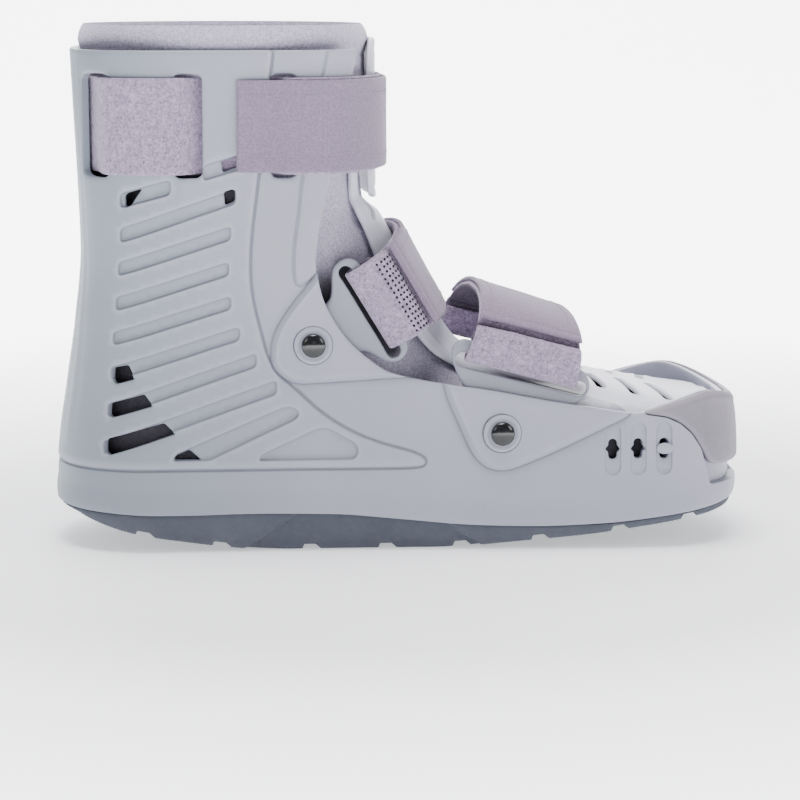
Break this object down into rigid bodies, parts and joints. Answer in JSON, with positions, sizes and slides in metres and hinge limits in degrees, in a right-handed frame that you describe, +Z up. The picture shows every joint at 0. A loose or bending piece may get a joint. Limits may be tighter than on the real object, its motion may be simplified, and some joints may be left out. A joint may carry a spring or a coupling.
{
  "type": "medical walking boot",
  "caption": "Short rocker-soled walking boot: slotted rigid shell, padded liner, front plates and hook-and-loop straps threaded through riveted loops, with a toe bumper.",
  "frame": {"origin": "on the floor under the middle of the boot, midway between heel and toe and between the two sides", "axes": "+X from heel to toe, +Y to the boot's left side, +Z up; the boot stands on its outsole"},
  "size_m": [0.2989, 0.125, 0.222],
  "materials": {
    "shell": "satin moulded",
    "sole": "matte moulded",
    "bumper": "matte moulded",
    "plate": "satin moulded",
    "loop": "satin moulded",
    "rivet": "glossy",
    "washer": "satin moulded",
    "padding": "soft knit over foam",
    "strap": "brushed fleece",
    "strap_cover": "smooth woven"
  },
  "bodies": {
    "root": {"outsole": "sole", "shell": "shell", "toe_bumper": "bumper", "liner": "padding", "front_plate": "plate", "shin_plate": "plate", "instep_loop_right": "loop", "instep_rivet_right": "rivet", "instep_washer_right": "washer", "instep_loop_left": "loop", "instep_rivet_left": "rivet", "instep_washer_left": "washer", "ball_loop_right": "loop", "ball_rivet_right": "rivet", "ball_washer_right": "washer", "ball_loop_left": "loop", "ball_rivet_left": "rivet", "ball_washer_left": "washer", "toe_pin_right": "loop", "toe_pin_left": "loop", "instep_strap": "strap", "instep_strap_cover": "strap_cover", "ball_strap": "strap", "ball_strap_cover": "strap_cover", "shin_strap": "strap", "shin_strap_cover": "strap_cover"}
  },
  "joints": []
}
